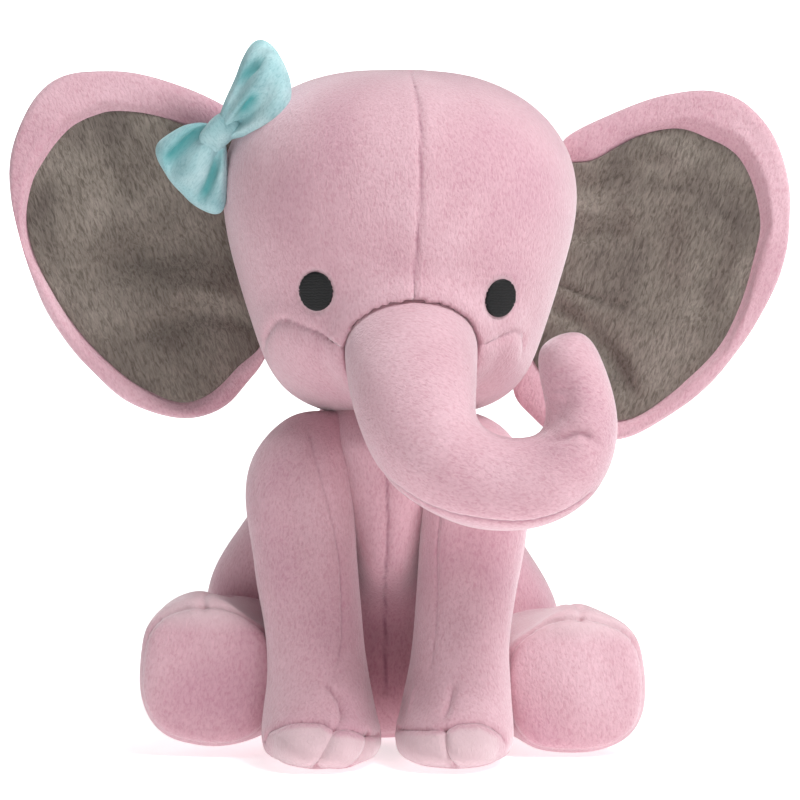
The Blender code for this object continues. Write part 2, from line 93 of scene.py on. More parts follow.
# Minky: polyester knit with a sheared 1.5 mm pile. It looks velvety and paler at grazing
# angles, in soft patches where the pile has been stroked the other way. The pile runs along
# the third direction of the piece's own "nap" attribute.
def plushMaterial(name, look):
    material, tree, shader = startMaterial(name, {
        "Roughness": 0.92, "IOR": 1.45, "Specular IOR Level": 0.15, "Sheen Weight": look["sheen"],
        "Sheen Roughness": 0.5, "Sheen Tint": linearColour(look["sheenTint"])})
    nap = addNode(tree, "ShaderNodeAttribute", {"attribute_name": "nap"})
    patches = addNode(tree, "ShaderNodeTexNoise",
                      {"Scale": 1000 / look["patchSize"], "Detail": 2.0, "Roughness": 0.45,
                       "Distortion": 0.5}, {"Vector": nap.outputs["Vector"]})
    patchRamp = setRamp(addNode(tree, "ShaderNodeValToRGB", None, {"Fac": patches.outputs["Fac"]}),
                        [(0.3, linearColour(look["brushed"])), (0.5, linearColour(look["base"])),
                         (0.7, linearColour(look["lit"]))])
    along = addNode(tree, "ShaderNodeMapping", {"Scale": look["napStretch"]},
                    {"Vector": nap.outputs["Vector"]})
    fibre = addNode(tree, "ShaderNodeTexNoise",
                    {"Scale": 1000 / look["tuftSize"], "Detail": 3.0, "Roughness": 0.6,
                     "Distortion": look["tuftBend"]}, {"Vector": along.outputs["Vector"]})
    tuftRamp = setRamp(addNode(tree, "ShaderNodeValToRGB", None, {"Fac": fibre.outputs["Fac"]}),
                       [(0.34, linearColour(look["tuftDark"])), (0.52, [1, 1, 1, 1]),
                        (0.74, [look["tuftLight"]] * 3 + [1])])
    tufted = addNode(tree, "ShaderNodeMix",
                     {"data_type": "RGBA", "blend_type": "MULTIPLY", 0: 1.0},
                     {6: patchRamp.outputs["Color"], 7: tuftRamp.outputs["Color"]})
    # crease darkens the seams' thread lines, and is painted shade along folds
    crease = addNode(tree, "ShaderNodeAttribute", {"attribute_name": "crease"})
    creased = addNode(tree, "ShaderNodeMix",
                      {"data_type": "RGBA", "blend_type": "MIX", 7: linearColour(look["crease"])},
                      {0: crease.outputs["Fac"], 6: tufted.outputs[2]})
    pale = addNode(tree, "ShaderNodeAttribute", {"attribute_name": "pale"})
    finished = addNode(tree, "ShaderNodeMix",
                       {"data_type": "RGBA", "blend_type": "MIX", 7: linearColour(look["pale"])},
                       {0: pale.outputs["Fac"], 6: creased.outputs[2]})
    soft = addNode(tree, "ShaderNodeTexNoise",
                   {"Scale": 1000 / look["waveSize"], "Detail": 2.0, "Roughness": 0.5},
                   {"Vector": along.outputs["Vector"]})
    wave = addNode(tree, "ShaderNodeBump", {"Strength": look["wave"], "Distance": 0.0006},
                   {"Height": soft.outputs["Fac"]})
    pile = addNode(tree, "ShaderNodeBump", {"Strength": look["pile"], "Distance": 0.0005},
                   {"Height": fibre.outputs["Fac"], "Normal": wave.outputs["Normal"]})
    tree.links.new(finished.outputs[2], shader.inputs["Base Color"])
    tree.links.new(pile.outputs["Normal"], shader.inputs["Normal"])
    return material


pinkLook = {
    # crease is the colour of the seams' thread lines, and painted shade along the folds of the
    # trunk tip and ankles
    "base": "#DAADB8", "lit": "#E4BBC5", "brushed": "#D09FAD", "crease": "#92576A",
    # pale is the colour of the pale toe tips and of the pressed pile round the eyes; over the tops
    # of the hind feet it is a painted highlight
    "pale": "#E3C6CB", "patchSize": 45.0, "tuftSize": 0.8, "tuftBend": 0.5,
    "napStretch": (1.0, 1.0, 0.5), "tuftDark": "#F4E6EA", "tuftLight": 1.10, "waveSize": 4.0,
    "wave": 0.3, "pile": 0.9, "sheen": 0.95, "sheenTint": "#F8F0F2",
}
greyLook = {
    "base": "#81776F", "lit": "#92877F", "brushed": "#6F655F", "crease": "#4A423D",
    "pale": "#81776F", "patchSize": 30.0, "tuftSize": 0.85, "tuftBend": 0.7,
    "napStretch": (1.0, 1.0, 0.25), "tuftDark": "#CCC9C6", "tuftLight": 1.3, "waveSize": 3.5,
    "wave": 0.4, "pile": 1.0, "sheen": 0.25, "sheenTint": "#D8D2CC",
}
aquaLook = {
    # crease: painted shade along the folds of the bow
    "base": "#B0D4D8", "lit": "#C4E0E3", "brushed": "#9CC7CC", "crease": "#4FA3A5",
    "pale": "#B0D4D8", "patchSize": 12.0, "tuftSize": 0.6, "tuftBend": 0.4,
    "napStretch": (1.0, 1.0, 0.35), "tuftDark": "#E2EEEF", "tuftLight": 1.06, "waveSize": 3.5,
    "wave": 0.25, "pile": 0.6, "sheen": 0.4, "sheenTint": "#E6F7F7",
}
pinkMinky = plushMaterial("pinkMinkySheared", pinkLook)
greyMinky = plushMaterial("greyMinkyCombed", greyLook)
aquaVelour = plushMaterial("aquaVelourBrushed", aquaLook)


# Close rows across a piece, for satin stitch and for woven tape.
def rowedMaterial(name, look):
    material, tree, shader = startMaterial(name, {
        "Roughness": look["roughness"], "Specular IOR Level": look["shine"]})
    place = addNode(tree, "ShaderNodeTexCoord")
    rows = addNode(tree, "ShaderNodeTexWave",
                   {"wave_type": "BANDS", "bands_direction": "Z",
                    "Scale": 1000 / (look["rowSize"] * 6.28), "Distortion": look["waver"],
                    "Detail": 3.0, "Detail Scale": 3.0}, {"Vector": place.outputs["Object"]})
    tone = setRamp(addNode(tree, "ShaderNodeValToRGB", None, {"Fac": rows.outputs["Fac"]}),
                   [(stop, linearColour(colour)) for stop, colour in look["tones"]])
    relief = addNode(tree, "ShaderNodeBump",
                     {"Strength": look["relief"], "Distance": look["height"]},
                     {"Height": rows.outputs["Fac"]})
    tree.links.new(tone.outputs["Color"], shader.inputs["Base Color"])
    tree.links.new(relief.outputs["Normal"], shader.inputs["Normal"])
    return material


# Black rayon thread in satin stitch: close parallel rows 0.4 mm apart, drawn at 0.5 mm so
# they show, dark with a dull silky glint across the rows.
threadLook = {"rowSize": 0.5, "waver": 6.0, "tones": [(0.1, "#0A0A0B"), (0.9, "#161618")],
              "relief": 0.45, "height": 0.0002, "roughness": 0.55, "shine": 0.35}
# White polyester satin tape for the care tag: smooth, faintly ribbed across, soft sheen.
tapeLook = {"rowSize": 0.5, "waver": 0.0, "tones": [(0.0, "#E4E2DE"), (1.0, "#F2F0EC")],
            "relief": 0.3, "height": 0.0001, "roughness": 0.45, "shine": 0.5}
blackThread = rowedMaterial("blackRayonSatinStitch", threadLook)
whiteTape = rowedMaterial("whiteSatinTapeWoven", tapeLook)
print("materials made")


def addLoop(bm, points):
    made = bmesh.ops.create_circle(bm, cap_ends=False, segments=len(points), radius=1.0)
    for vert, point in zip(made["verts"], points):
        vert.co = point
    return list(dict.fromkeys(edge for vert in made["verts"] for edge in vert.link_edges))


# A point of a unit circle that grows squarer as power rises above 2.
def squared(angle, power):
    return [math.copysign(abs(v) ** (2 / power), v) for v in (math.cos(angle), math.sin(angle))]


# Rows are x, y, z, half width, half depth. A row's ring faces along the line of centres,
# or straight up or down (level is 1 or -1).
def ringsOf(rows, segments, ahead=(0, -1, 0), power=2.0, level=0):
    loops = []
    for index, row in enumerate(rows):
        low, high = rows[max(index - 1, 0)], rows[min(index + 1, len(rows) - 1)]
        line = (Vector(high[:3]) - Vector(low[:3])).normalized()
        if level:
            line = Vector((0, 0, level))
        deep = Vector(ahead)
        deep = (deep - line * deep.dot(line)).normalized()
        side = line.cross(deep)
        points = []
        for j in range(segments):
            c, s = squared(math.tau * j / segments, power)
            points.append(Vector(row[:3]) + side * (row[3] * c) + deep * (row[4] * s))
        loops.append(points)
    return loops


def objectFrom(bm, name):
    mesh = bpy.data.meshes.new(name)
    bm.to_mesh(mesh)
    bm.free()
    made = bpy.data.objects.new(name, mesh)
    bpy.context.scene.collection.objects.link(made)
    return made


def loftSkin(name, loops, levels):
    bm = bmesh.new()
    made = [addLoop(bm, points) for points in loops]
    for first, second in zip(made, made[1:]):
        bmesh.ops.bridge_loops(bm, edges=first + second)
    bmesh.ops.holes_fill(bm, edges=made[0] + made[-1], sides=0)
    bmesh.ops.recalc_face_normals(bm, faces=bm.faces)
    return roundOff(objectFrom(bm, name), levels)


def roundOff(skin, levels):
    if levels:
        smoother = skin.modifiers.new("rounding", "SUBSURF")
        smoother.levels = smoother.render_levels = levels
        graph = bpy.context.evaluated_depsgraph_get()
        finer = bpy.data.meshes.new_from_object(skin.evaluated_get(graph))
        skin.modifiers.clear()
        skin.data = finer
    return skin


def pointsOf(skin):
    flat = np.zeros(len(skin.data.vertices) * 3)
    skin.data.vertices.foreach_get("co", flat)
    return flat.reshape(-1, 3)


def normalsOf(skin):
    flat = np.zeros(len(skin.data.vertices) * 3, np.float32)
    skin.data.vertex_normals.foreach_get("vector", flat)
    return flat.reshape(-1, 3).astype(float)


def movePoints(skin, points):
    skin.data.vertices.foreach_set("co", points.ravel())
    skin.data.update()


def mark(skin, name, values):
    layer = skin.data.attributes.get(name) or skin.data.attributes.new(name, "FLOAT", "POINT")
    layer.data.foreach_set("value", np.clip(values, 0, 1).astype(np.float32))


def markOf(skin, name):
    values = np.zeros(len(skin.data.vertices), np.float32)
    if name in skin.data.attributes:
        skin.data.attributes[name].data.foreach_get("value", values)
    return values.astype(float)


# Catmull-Rom curve from b to c, smooth with its neighbours a and d.
def between(a, b, c, d, t):
    return 0.5 * ((2 * b) + (c - a) * t + (2 * a - 5 * b + 4 * c - d) * t * t
                  + (3 * b - a - 3 * c + d) * t ** 3)


def curveThrough(points, closed=False):
    points = [Vector(p) for p in points]
    count = len(points)
    made = []
    for i in range(count if closed else count - 1):
        if closed:
            a, b, c, d = (points[(i + k) % count] for k in (-1, 0, 1, 2))
        else:
            b, c = points[i], points[i + 1]
            a = points[i - 1] if i else b * 2 - c
            d = points[i + 2] if i + 2 < count else c * 2 - b
        pieces = max(1, int((c - b).length / lineStep))
        made += [between(a, b, c, d, k / pieces) for k in range(pieces)]
    if not closed:
        made.append(points[-1])
    return made


def pointTree(points):
    tree = kdtree.KDTree(len(points))
    for i, point in enumerate(points):
        tree.insert(point, i)
    tree.balance()
    return tree


def treeOf(skin):
    return BVHTree.FromObject(skin, bpy.context.evaluated_depsgraph_get())


# Lays a line drawn as (x, z) onto a skin, seen from the front (or from behind).
def layFront(tree, drawn, start=-220.0, toward=1.0):
    line = []
    for point in curveThrough([(x, 0, z) for x, z in drawn]):
        hit = tree.ray_cast(Vector((point.x, start, point.z)), Vector((0, toward, 0)))
        if hit[0] is not None:
            line.append(hit[0])
    return line


# A seam is drawn as (x, z) seen from the front or the back, or as points near the skin.
def laySeams(skin, seams):
    tree = treeOf(skin)
    for seam in seams:
        if "front" in seam:
            seam["line"] = layFront(tree, seam["front"])
        elif "back" in seam:
            seam["line"] = layFront(tree, seam["back"], 220.0, -1.0)
        else:
            drawn = curveThrough(seam["near"], closed=seam.get("closed", False))
            seam["line"] = [tree.find_nearest(point)[0] for point in drawn]
    return seams


# Draws seams and folds into a skin. Each has the width and depth of its groove, how far the cloth
# swells beside it, how much it puckers, and how dark its thread line is. Along a fold with no
# stitching that dark line is painted shade.
def sewLines(skin, seams):
    laySeams(skin, seams)
    points, normals = pointsOf(skin), normalsOf(skin)
    crease = markOf(skin, "crease")
    moved = np.zeros(len(points))
    for number, seam in enumerate(seams):
        line = seam["line"]
        if len(line) < 2:
            continue
        width, depth = seam.get("width", 0.9), seam.get("depth", 0.6)
        puff, puffWide = seam.get("puff", 0.0), seam.get("puffWide", 4.0)
        reach = max(3 * width, 3 * puffWide if puff else 0, 2.0)
        tree = pointTree(line)
        flat = np.array([p[:] for p in line])
        near = ((points > flat.min(0) - reach) & (points < flat.max(0) + reach)).all(1)
        for i in np.nonzero(near)[0]:
            _, index, away = tree.find(points[i])
            if away > reach:
                continue
            pucker = 1 + seam.get("pucker", 0.4) * noise.noise(
                Vector((index * lineStep / 2.6, 3.7 * number, 0)))
            ends = 1.0
            if not seam.get("closed", False):
                ends = min(1.0, (min(index, len(line) - 1 - index) * lineStep + 0.3)
                           / max(seam.get("fade", 0.0), 0.3))
            moved[i] -= ends * depth * pucker * math.exp(-(away / width) ** 2)
            if puff:
                moved[i] += ends * puff * math.exp(-((away - puffWide) / puffWide) ** 2)
            # a seam's dark thread line; along a fold with no stitching this darkening is painted
            # shade
            dark = seam.get("dark", 0.7) * ends * math.exp(-(away / seam.get("thread", 0.5)) ** 2)
            crease[i] = max(crease[i], dark)
    movePoints(skin, points + normals * moved[:, None])
    mark(skin, "crease", crease)


# Darkens the line where one skin meets another, as the stitches there pull the pile in.
def darkenMeeting(skin, other, width, dark):
    tree = treeOf(other)
    crease = markOf(skin, "crease")
    for i, point in enumerate(pointsOf(skin)):
        near = tree.find_nearest(Vector(point), width * 3)
        if near[0] is not None:
            crease[i] = max(crease[i], dark * math.exp(-(near[3] / width) ** 2))
    mark(skin, "crease", crease)


# Uneven filling: slow lumps, a few tenths of a millimetre up to about one.
def addLumps(skin, size, height, seed):
    points, normals = pointsOf(skin), normalsOf(skin)
    offset = Vector((seed, 2 * seed, -seed))
    lift = np.array([noise.noise(Vector(p) / size + offset) for p in points])
    movePoints(skin, points + normals * (height * lift)[:, None])


def addBump(skin, centre, size, height):
    points, normals = pointsOf(skin), normalsOf(skin)
    away = ((points - np.array(centre)) / np.array(size)) ** 2
    movePoints(skin, points + normals * (height * np.exp(-away.sum(1)))[:, None])


cloth = {"quality": 5, "mass": 0.3, "stretch": 15, "shear": 5, "bend": 0.5, "frames": 20,
         "hold": 4.0, "pressure": 4.0}


# Fills a sewn piece: it starts a little small and is blown up as cloth with its seams held,
# so that the panels swell between them. No point moves further than "most".
def fillUp(skin, filling, seams):
    points, normals = pointsOf(skin), normalsOf(skin)
    # the underside, and the thin root of an ear, stay as they are cut
    still = np.clip((filling.get("root", -1e6) - np.abs(points[:, 0])) / 12, 0, 1)
    still[points[:, 2] < filling.get("floor", -1e6)] = 1.0
    start = points - normals * (filling["shrink"] * (1 - still))[:, None]
    held = [point for seam in laySeams(skin, seams) if seam.get("hold", True)
            for point in seam["line"]]
    movePoints(skin, start)
    bag = bpy.data.objects.new("clothShell", skin.data.copy())
    bag.data.transform(Matrix.Scale(0.001, 4))
    bpy.context.scene.collection.objects.link(bag)
    group = bag.vertex_groups.new(name="held")
    tree = pointTree(held or [Vector((0, 0, 1e6))])
    for i, point in enumerate(points):
        away = tree.find(point)[2]
        weight = max(max(0.0, 1 - away / cloth["hold"]) ** 0.5, still[i])
        if weight > 0.02:
            group.add([i], weight, "REPLACE")
    shell = bag.modifiers.new("filling", "CLOTH")
    settings = shell.settings
    settings.quality = cloth["quality"]
    settings.mass = cloth["mass"]
    settings.tension_stiffness = settings.compression_stiffness = cloth["stretch"]
    settings.shear_stiffness = cloth["shear"]
    settings.bending_stiffness = cloth["bend"]
    settings.use_pressure = True
    settings.uniform_pressure_force = filling.get("pressure", cloth["pressure"])
    settings.effector_weights.gravity = 0
    settings.vertex_group_mass = "held"
    shell.collision_settings.use_collision = False
    shell.point_cache.frame_start, shell.point_cache.frame_end = 1, cloth["frames"]
    for frameNumber in range(1, cloth["frames"] + 1):
        bpy.context.scene.frame_set(frameNumber)
    graph = bpy.context.evaluated_depsgraph_get()
    blown = bpy.data.meshes.new_from_object(bag.evaluated_get(graph))
    flat = np.zeros(len(blown.vertices) * 3)
    blown.vertices.foreach_get("co", flat)
    step = flat.reshape(-1, 3) * 1000 - start
    length = np.linalg.norm(step, axis=1)
    share = np.minimum(1.0, filling["most"] / np.maximum(length, 1e-6)) * (1 - still)
    movePoints(skin, start + step * share[:, None])
    bpy.data.objects.remove(bag)
    bpy.context.scene.frame_set(1)


def stuffPiece(name, loops, cut, shape=None):
    skin = loftSkin(name, loops, cut["levels"])
    for bump in cut.get("bumps", []):
        addBump(skin, *bump)
    if shape:
        shape(skin)
    fillUp(skin, cut["filling"], cut["seams"])
    roundOff(skin, cut["finish"])
    if "lumps" in cut:
        addLumps(skin, *cut["lumps"])
    sewLines(skin, cut["seams"])
    print(name, "stuffed")
    return skin


def leaned(x, z, degrees):
    c, s = math.cos(math.radians(degrees)), math.sin(math.radians(degrees))
    return x * c - z * s, x * s + z * c


# The nap attribute holds the piece's own coordinates in metres, leaned over by some degrees
# so the pile runs the way the cloth was cut.
def layNap(piece, lean):
    x, y, z = pointsOf(piece).T
    x, z = leaned(x, z, -lean)
    layer = piece.data.attributes.new("nap", "FLOAT_VECTOR", "POINT")
    layer.data.foreach_set("vector", np.stack([x, y, z], 1).ravel().astype(np.float32))


def finishPiece(piece, material, lean=0.0):
    place = Matrix.Translation((0, backShift * 0.001, 0)) @ Matrix.Scale(0.001, 4)
    piece.data.transform(place)
    piece.data.materials.clear()
    piece.data.materials.append(material)
    for face in piece.data.polygons:
        face.use_smooth = True
    for name in ("crease", "pale"):
        mark(piece, name, markOf(piece, name))
    layNap(piece, lean)
    return piece


# Head: one round skin of four sewn panels, puffy over the cheeks.
cheekFold = {"width": 1.2, "depth": 0.8, "puffWide": 4.0, "pucker": 0.7, "dark": 0.42, "fade": 5}
headCut = {
    "rows": [
        (0, -3, 117.6, 4, 4), (0, -3, 118.4, 16, 14), (0, -4, 121.4, 31, 27),
        (0, -4, 128, 43, 38), (0, -4, 138.5, 50.8, 45), (0, -3.5, 153, 55.6, 49.5),
        (0, -3, 169, 60.4, 53.5), (0, -2.5, 185, 65.2, 56.5), (0, -2, 201, 67.4, 57.5),
        (-0.2, -2, 216, 65.6, 55.5), (-0.8, -1, 228.5, 58.4, 50), (-1.2, -0.5, 238, 47, 41),
        (-0.8, 0, 244.6, 32, 28),
        (0, 0, 247.5, 15, 13), (0, 0, 247.9, 3, 3),
    ],
    "segments": 24, "levels": 2, "finish": 2, "power": 2.08, "lumps": (30, 0.6, 3.0),
    "bumps": [((-35, -40, 146), (14, 16, 9), 2.6), ((42, -36, 145), (12, 16, 9), 2.0),
              ((48, -32, 150), (5, 12, 12), -1.6)],
    "filling": {"shrink": 1.2, "most": 2.4},
    "seams": [
        {"front": [(3.6, 248), (5.5, 238), (7.4, 226), (7.6, 210), (7.2, 192), (6, 178),
                   (5, 166), (4.6, 158)],
         "width": 0.9, "depth": 0.6, "puff": 0.2, "puffWide": 3.5},
        {"back": [(0, 248), (0, 225), (0, 190), (0, 150), (0, 126)],
         "width": 1.0, "depth": 0.7, "puff": 0.25, "puffWide": 3.5},
        dict(cheekFold, puff=0.5, front=[(-18, 146), (-20.4, 147.5), (-27, 150.5), (-33, 152.6),
                                         (-39.5, 155), (-44, 154), (-47.5, 149), (-49, 143)]),
        dict(cheekFold, puff=0.4, front=[(26, 147), (28, 147.6), (33.6, 148.8), (41, 151),
                                         (44, 149), (44, 142)]),
    ],
}
headSkin = stuffPiece("headSkin", ringsOf(headCut["rows"], headCut["segments"], level=1,
                                          power=headCut["power"]), headCut)

# Trunk: a tapered tube from the face, curled to one side and up.
trunkCut = {
    "rows": [
        (4.2, -28, 155, 14, 12), (4.2, -33, 153, 21, 17.5), (4.2, -43, 148.5, 24.4, 19.4),
        (4.4, -54, 141.5, 24.4, 20), (5.0, -63.5, 131, 23.2, 20), (7.0, -70, 119.5, 21.6, 19.2),
        (12.5, -74, 109.5, 19.8, 18.4), (22, -76, 102.6, 18.4, 17.6),
        (34.5, -77, 99, 17.6, 16.8), (47.4, -77.4, 100.2, 17, 16.4),
        (57.6, -77.4, 106.6, 15.8, 15.4), (62.2, -77, 117, 14, 14), (61.4, -76.2, 128, 12.6, 13.2),
        (58.2, -75.4, 138, 12, 12.6), (56, -74.8, 145.5, 10.8, 11.4),
        (54.6, -74.5, 149.6, 7.6, 8), (54.2, -74.4, 150.8, 2, 2),
    ],
    "segments": 16, "levels": 2, "finish": 2, "lumps": (22, 0.5, 7.0),
    "filling": {"shrink": 0.6, "most": 1.9},
    "seams": [
        {"near": [(-16, -52, 120), (-9.5, -66, 107), (-2, -78, 98.5), (9.5, -84, 91.2),
                  (24, -88, 87.3), (36, -89, 85.2), (46, -89, 85.4), (56, -87, 89), (65, -84, 96)],
         "width": 0.9, "depth": 0.7, "puff": 0.25, "puffWide": 3.0},
        # a fold across the tip, not a seam: the dark line along it is painted shade in the fold
        {"front": [(49, 114.5), (54, 115.6), (60.5, 117.5), (68, 113.5)],
         "width": 1.6, "depth": 1.3, "puff": 0.4, "puffWide": 3.5, "dark": 0.25, "thread": 1.2,
         "fade": 6, "hold": False},
        {"front": [(48.5, 117), (53, 123), (55, 131), (53.5, 140)],
         "width": 5.0, "depth": 1.6, "dark": 0.0, "fade": 8, "hold": False},
    ],
}
trunkSkin = stuffPiece("trunkSkin", ringsOf(trunkCut["rows"], trunkCut["segments"]), trunkCut)

# Torso: pear-shaped body, flat where it sits, with the chest pushed out between the legs.
torsoCut = {
    "rows": [
        (-4, 27, 0.35, 10, 7), (-4, 27, 0.4, 36, 23), (-4, 27, 1.6, 47, 30), (-4, 27, 7, 57, 36),
        (-4.5, 27, 18, 64.5, 40), (-5, 27, 32, 68, 41), (-6.8, 27, 48, 69.5, 41),
        (-9, 26, 64, 63, 39.5), (-9, 23, 80, 51.5, 36.5), (-6, 17, 97, 42, 33),
        (-3, 10, 112, 35, 30), (-1, 6, 124, 29, 27), (0, 5, 134, 22, 21), (0, 5, 138, 6, 6),
    ],
    "segments": 24, "levels": 2, "finish": 2, "power": 2.1, "lumps": (28, 0.8, 11.0),
    "filling": {"shrink": 1.2, "most": 2.6, "floor": 1.2},
    "seams": [
        {"front": [(-4, 118), (-4.2, 95), (-4, 78), (-5, 58), (-5, 20)],
         "width": 1.0, "depth": 0.9, "puff": 0.3},
        {"back": [(-2, 118), (-6, 90), (-6, 50), (-4, 6)],
         "width": 1.0, "depth": 0.9, "puff": 0.3},
        {"near": [(-71, 27, 6), (-62, 60, 6), (-4, 70, 6), (54, 60, 6), (64, 27, 6)],
         "width": 1.0, "depth": 0.8, "puff": 0.3},
    ],
    "chest": {"deep": 23.0, "narrow": 12.0, "wide": 26.0, "low": 44.0, "high": 122.0},
}


def pushChest(skin):
    chest = torsoCut["chest"]
    points = pointsOf(skin)
    x, y, z = points.T
    up = np.clip((z - 62) / 50, 0, 1)
    wide = chest["narrow"] + (chest["wide"] - chest["narrow"]) * up
    rise = np.clip((z - chest["low"]) / 26, 0, 1)
    fall = np.clip((chest["high"] + 14 - z) / 26, 0, 1)
    share = rise * rise * (3 - 2 * rise) * fall * fall * (3 - 2 * fall)
    share = share * np.exp(-((x + 4) / wide) ** 4) * (y < 20)
    points[:, 1] -= chest["deep"] * share * np.clip((20 - y) / 30, 0, 1)
    movePoints(skin, points)


torsoSkin = stuffPiece("torsoSkin", ringsOf(torsoCut["rows"], torsoCut["segments"], level=1,
                                            power=torsoCut["power"]), torsoCut, pushChest)

# Front legs: straight tubes with a flat sole and stitched toes.
legSeam = {"width": 0.8, "depth": 0.45, "puff": 0.15, "dark": 0.32, "thread": 0.4, "fade": 6}
rearSeam = {"width": 0.9, "depth": 0.6, "puff": 0.2, "dark": 0.5}
toeBand = {"width": 0.9, "depth": 0.9, "puff": 0.4, "puffWide": 2.8, "pucker": 0.8, "dark": 0.45}
toeGap = {"width": 1.1, "depth": 1.8, "puff": 0.5, "puffWide": 2.8, "dark": 0.45}
# Ankle puckers are folds with no stitching: the dark line along them is painted shade.
anklePucker = {"width": 1.4, "puff": 0.5, "puffWide": 4.0, "fade": 3, "hold": False}
frontLegCut = {
    "rows": [
        (23, -13, 123.4, 4, 4), (24.5, -15, 122, 11, 10), (28.2, -19, 115, 17.2, 16.5),
        (31.2, -23, 104, 20.6, 19), (31.8, -26, 91, 20.6, 19.6), (30, -29, 74, 20.2, 19.4),
        (27.6, -33, 56, 18.8, 19), (25.8, -36.5, 41, 18.2, 19), (25, -39.5, 29, 19, 20.6),
        (24.2, -42.5, 20, 20.8, 24), (23.8, -45, 12.5, 22, 27.6), (23.4, -46, 6.5, 22, 28.6),
        (23.2, -45.6, 2.6, 20.4, 26.6), (23, -44.5, 0.6, 15, 20.5), (23, -44.5, 0.4, 4, 6),
    ],
    "segments": 20, "levels": 2, "finish": 2, "power": 2.1,
    "filling": {"shrink": 0.8, "most": 1.8, "floor": 1.5},
    "left": {
        "lumps": (18, 0.6, 4.0),
        "seams": [
            dict(legSeam, front=[(-33.2, 119), (-29.2, 105), (-24.6, 89), (-21.8, 76),
                                 (-20.6, 66), (-20, 45), (-22, 34)]),
            dict(toeBand, front=[(-46.5, 9), (-44.6, 12.6), (-39, 15.6), (-34, 16.8),
                                 (-27, 16.8), (-22, 14), (-17.6, 14), (-11.2, 11.6),
                                 (-7, 10.5), (-3.5, 11.5)]),
            dict(toeGap, front=[(-22, 14), (-24.5, 10), (-27, 6.5), (-28.5, 3)]),
            dict(toeGap, front=[(-11.2, 11.6), (-13, 8), (-16, 4.5), (-17.5, 2.5)]),
            dict(anklePucker, depth=1.1, dark=0.45,
                 front=[(-26.5, 31), (-25.3, 28.9), (-21.3, 24.2), (-19.9, 19.1), (-21.8, 14.6)]),
            dict(rearSeam, back=[(-38, 108), (-37, 80), (-33, 50), (-30, 10)]),
        ],
        "toes": [((-34, -70, 10), (8.5, 16, 6), 2.6), ((-19.5, -72, 8.5), (5.5, 14, 6), 3.0),
                 ((-8.5, -68, 6), (4.5, 14, 5), 2.4)],
        "band": [(-46, 11), (-44, 13), (-39, 15.4), (-34, 16.6), (-27, 16.6), (-22, 13.8),
                 (-17.6, 13.6), (-11.4, 11.2), (-7, 10), (-3.4, 10.8)],
    },
    "right": {
        "lumps": (18, 0.6, 6.0),
        "seams": [
            dict(legSeam, front=[(24, 119), (19, 105), (15, 90), (13.3, 76), (13.3, 57),
                                 (11.9, 39), (10.5, 33)]),
            dict(toeBand, front=[(-5.4, 11), (-1, 12.6), (3, 13.3), (10, 14.2), (15.6, 14.8),
                                 (17.5, 15.2), (20.8, 16.6), (27.9, 16.4), (34, 12.8), (36, 10)]),
            dict(toeGap, front=[(16, 14.8), (16, 11), (17, 7), (19, 3.5)]),
            {"front": [(5.9, 28.5), (4.2, 23), (3.2, 17.4)],
             "width": 1.1, "depth": -0.7, "dark": 0.0, "fade": 3, "hold": False},
            dict(anklePucker, depth=1.2, dark=0.35,
                 front=[(18.8, 30.5), (18.4, 27), (17.2, 22.6), (15.4, 17.4)]),
            dict(rearSeam, back=[(30, 108), (29, 80), (25, 50), (22, 10)]),
        ],
        "toes": [((5, -71, 8), (8, 16, 6), 2.4), ((26, -71, 9.5), (8, 16, 6), 3.2)],
        "band": [(-5.2, 10.6), (-1, 12.2), (3, 13), (10, 13.9), (15.6, 14.4), (17.5, 15),
                 (20.8, 16.2), (27.9, 16), (34, 12.4), (36, 9.6)],
    },
}

# Hind legs: thick tubes lying outwards, each with a round sole to the front.
hindLegCut = {
    "rows": [
        (45, 19, 27, 12, 14), (47, 14, 27, 19, 21), (52, 4, 27, 23, 25), (58, -9, 27, 24, 26.2),
        (63.5, -21, 27.4, 24.6, 26.9), (66.5, -31, 27.6, 24.4, 26.9),
        (67.5, -36.5, 27.8, 23, 25.4), (67.8, -40, 28, 18.5, 20.5),
        (67.9, -41.6, 28, 11, 12.5), (67.9, -42, 28, 3, 3),
    ],
    "segments": 20, "levels": 2, "finish": 2, "power": 2.6,
    "filling": {"shrink": 0.8, "most": 1.8},
    "sole": {"half": (22.6, 22.8), "at": (67.2, -35.6, 27.2), "power": 3.0},
    "shift": {"left": (2.0, 0, 2.0), "right": (1.0, 0, -1.4)},
    "stretch": {"left": (1.09, 1.03), "right": (1.10, 0.99)},
    "stitch": {"left": 0.45, "right": 0.2},  # how dark the sole's thread line is
    # the foot's top falls away towards the front leg
    "bumps": {"left": [((-49, -26, 55), (13, 18, 12), -5.0), ((-72, -24, 55), (11, 14, 9), 2.2)],
              "right": [((42, -26, 52), (12, 18, 12), -3.5), ((61, -26, 51), (9, 13, 8), 1.8)]},
}


def sideRows(rows, side, shift=(0, 0, 0), stretch=(1.0, 1.0)):
    return [(bodyMiddle + flips[side] * r[0] + shift[0], r[1] + shift[1], r[2] + shift[2],
             r[3] * stretch[0], r[4] * stretch[1]) for r in rows]


# Presses the underside flat where the toy sits on a surface.
def settle(skin):
    points = pointsOf(skin)
    points[:, 2] = np.maximum(points[:, 2], 0.15 + 0.02 * np.minimum(points[:, 2], 0))
    movePoints(skin, points)


def shadeToes(leg, band):
    points = pointsOf(leg)
    line = np.interp(points[:, 0], [p[0] for p in band], [p[1] for p in band])
    x = points[:, 0]
    inside = np.clip((x - band[0][0]) / 3, 0, 1) * np.clip((band[-1][0] - x) / 3, 0, 1)
    inside *= np.clip((-50 - points[:, 1]) / 5, 0, 1)
    pale = np.clip((line - points[:, 2]) / 1.2, 0, 1) * np.clip((points[:, 2] - 0.5) / 4, 0, 1)
    mark(leg, "pale", pale * inside * 0.8)


